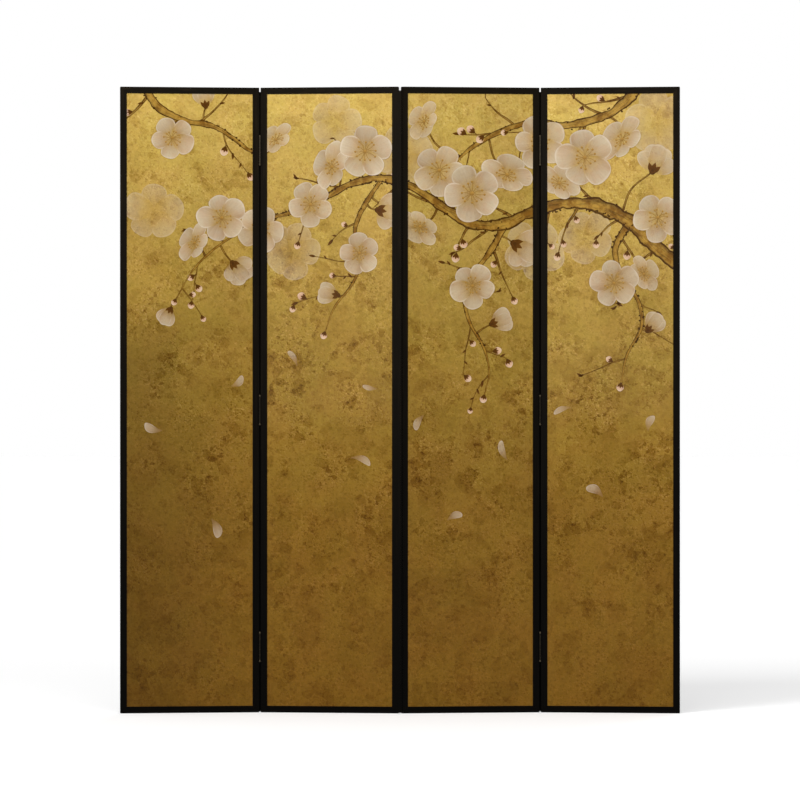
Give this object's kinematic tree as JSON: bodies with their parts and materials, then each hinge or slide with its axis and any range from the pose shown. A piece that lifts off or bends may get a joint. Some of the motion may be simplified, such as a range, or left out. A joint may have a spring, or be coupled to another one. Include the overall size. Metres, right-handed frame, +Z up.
{
  "type": "folding screen",
  "caption": "Freestanding folding screen of tall narrow gilt panels in black lacquered frames, joined edge to edge by butt hinges so that it folds in a zigzag.",
  "frame": {"origin": "bottom centre of the whole screen as it stands, on the floor", "axes": "+Z up, the gilt fronts face -Y, +X to the right as seen from the front"},
  "size_m": [1.611, 0.0652, 1.8],
  "materials": {
    "black_lacquer": "black lacquer on hardwood, satin gloss",
    "gilt_board": "aged gold leaf with a painted plum branch on a wooden board, under clear gloss lacquer",
    "back_board": "dark stained veneer, satin",
    "core_wood": "bare softwood battens",
    "hinge_metal": "blackened, worn to dull bronze on the knuckles",
    "hinge_screw": "blackened, slotted heads"
  },
  "bodies": {
    "panel_1": {"panel_1_back_board": "back_board", "panel_1_bottom_rail": "black_lacquer", "panel_1_core_lattice": "core_wood", "panel_1_gilt_board": "gilt_board", "panel_1_left_stile": "black_lacquer", "panel_1_right_stile": "black_lacquer", "panel_1_top_rail": "black_lacquer", "seam_1_hinge_pins": "hinge_metal", "seam_1_left_screws": "hinge_screw", "seam_1_lower_hinge_left_leaf": "hinge_metal", "seam_1_middle_hinge_left_leaf": "hinge_metal", "seam_1_upper_hinge_left_leaf": "hinge_metal"},
    "panel_2": {"panel_2_back_board": "back_board", "panel_2_bottom_rail": "black_lacquer", "panel_2_core_lattice": "core_wood", "panel_2_gilt_board": "gilt_board", "panel_2_left_stile": "black_lacquer", "panel_2_right_stile": "black_lacquer", "panel_2_top_rail": "black_lacquer", "seam_1_lower_hinge_right_leaf": "hinge_metal", "seam_1_middle_hinge_right_leaf": "hinge_metal", "seam_1_right_screws": "hinge_screw", "seam_1_upper_hinge_right_leaf": "hinge_metal", "seam_2_hinge_pins": "hinge_metal", "seam_2_left_screws": "hinge_screw", "seam_2_lower_hinge_left_leaf": "hinge_metal", "seam_2_middle_hinge_left_leaf": "hinge_metal", "seam_2_upper_hinge_left_leaf": "hinge_metal"},
    "panel_3": {"panel_3_back_board": "back_board", "panel_3_bottom_rail": "black_lacquer", "panel_3_core_lattice": "core_wood", "panel_3_gilt_board": "gilt_board", "panel_3_left_stile": "black_lacquer", "panel_3_right_stile": "black_lacquer", "panel_3_top_rail": "black_lacquer", "seam_2_lower_hinge_right_leaf": "hinge_metal", "seam_2_middle_hinge_right_leaf": "hinge_metal", "seam_2_right_screws": "hinge_screw", "seam_2_upper_hinge_right_leaf": "hinge_metal", "seam_3_hinge_pins": "hinge_metal", "seam_3_left_screws": "hinge_screw", "seam_3_lower_hinge_left_leaf": "hinge_metal", "seam_3_middle_hinge_left_leaf": "hinge_metal", "seam_3_upper_hinge_left_leaf": "hinge_metal"},
    "panel_4": {"panel_4_back_board": "back_board", "panel_4_bottom_rail": "black_lacquer", "panel_4_core_lattice": "core_wood", "panel_4_gilt_board": "gilt_board", "panel_4_left_stile": "black_lacquer", "panel_4_right_stile": "black_lacquer", "panel_4_top_rail": "black_lacquer", "seam_3_lower_hinge_right_leaf": "hinge_metal", "seam_3_middle_hinge_right_leaf": "hinge_metal", "seam_3_right_screws": "hinge_screw", "seam_3_upper_hinge_right_leaf": "hinge_metal"}
  },
  "joints": [
    {"name": "seam_1_fold", "type": "hinge", "parent": "panel_2", "child": "panel_1", "pos_m": [-0.40371, 0.00719, 0.9], "axis": [0, 0, 1], "range_deg": [-12, 168]},
    {"name": "seam_2_fold", "type": "hinge", "parent": "panel_2", "child": "panel_3", "pos_m": [0, -0.00719, 0.9], "axis": [0, 0, 1], "range_deg": [-12, 168]},
    {"name": "seam_3_fold", "type": "hinge", "parent": "panel_3", "child": "panel_4", "pos_m": [0.40371, 0.00719, 0.9], "axis": [0, 0, -1], "range_deg": [-12, 168]}
  ]
}
